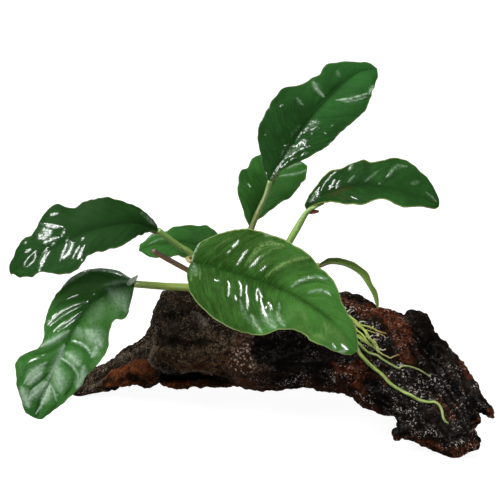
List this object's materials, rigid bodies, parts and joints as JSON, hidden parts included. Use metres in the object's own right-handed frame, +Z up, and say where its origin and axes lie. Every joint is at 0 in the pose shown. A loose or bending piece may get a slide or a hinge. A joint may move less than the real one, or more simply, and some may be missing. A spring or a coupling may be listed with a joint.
{
  "type": "anubias on driftwood",
  "caption": "Aquarium plant with broad, glossy, ruffled leaves on stems, grown from a rhizome whose roots grip an arched piece of dark driftwood that stands by itself.",
  "frame": {"origin": "middle of the whole plant's box in X and Y, at the level of the flat feet that the driftwood stands on", "axes": "+X along the driftwood towards its broad forked end, -Y towards the viewer of the picture, +Z up"},
  "size_m": [0.241, 0.1335, 0.181],
  "materials": {
    "driftwood": "satin",
    "leaf": "gloss",
    "young_leaf": "gloss",
    "stem": "satin",
    "old_stem": "satin",
    "rhizome": "satin",
    "root": "satin",
    "bract": "matte"
  },
  "bodies": {
    "root": {"driftwood": "driftwood", "rhizome": "rhizome", "leaf_top": "leaf", "leaf_right": "leaf", "leaf_left_upper": "leaf", "leaf_left_lower": "leaf", "leaf_front": "leaf", "leaf_back": "leaf", "leaf_left_back": "leaf", "leaf_young": "young_leaf", "stem_top": "stem", "stem_right": "stem", "stem_left_upper": "stem", "stem_left_lower": "stem", "stem_front": "stem", "stem_back": "stem", "stem_left_back": "stem", "stem_young": "stem", "stem_cut": "old_stem", "dried_bract": "bract", "root_long": "root", "root_middle": "root", "root_curled": "root", "root_upper": "root"}
  },
  "joints": []
}
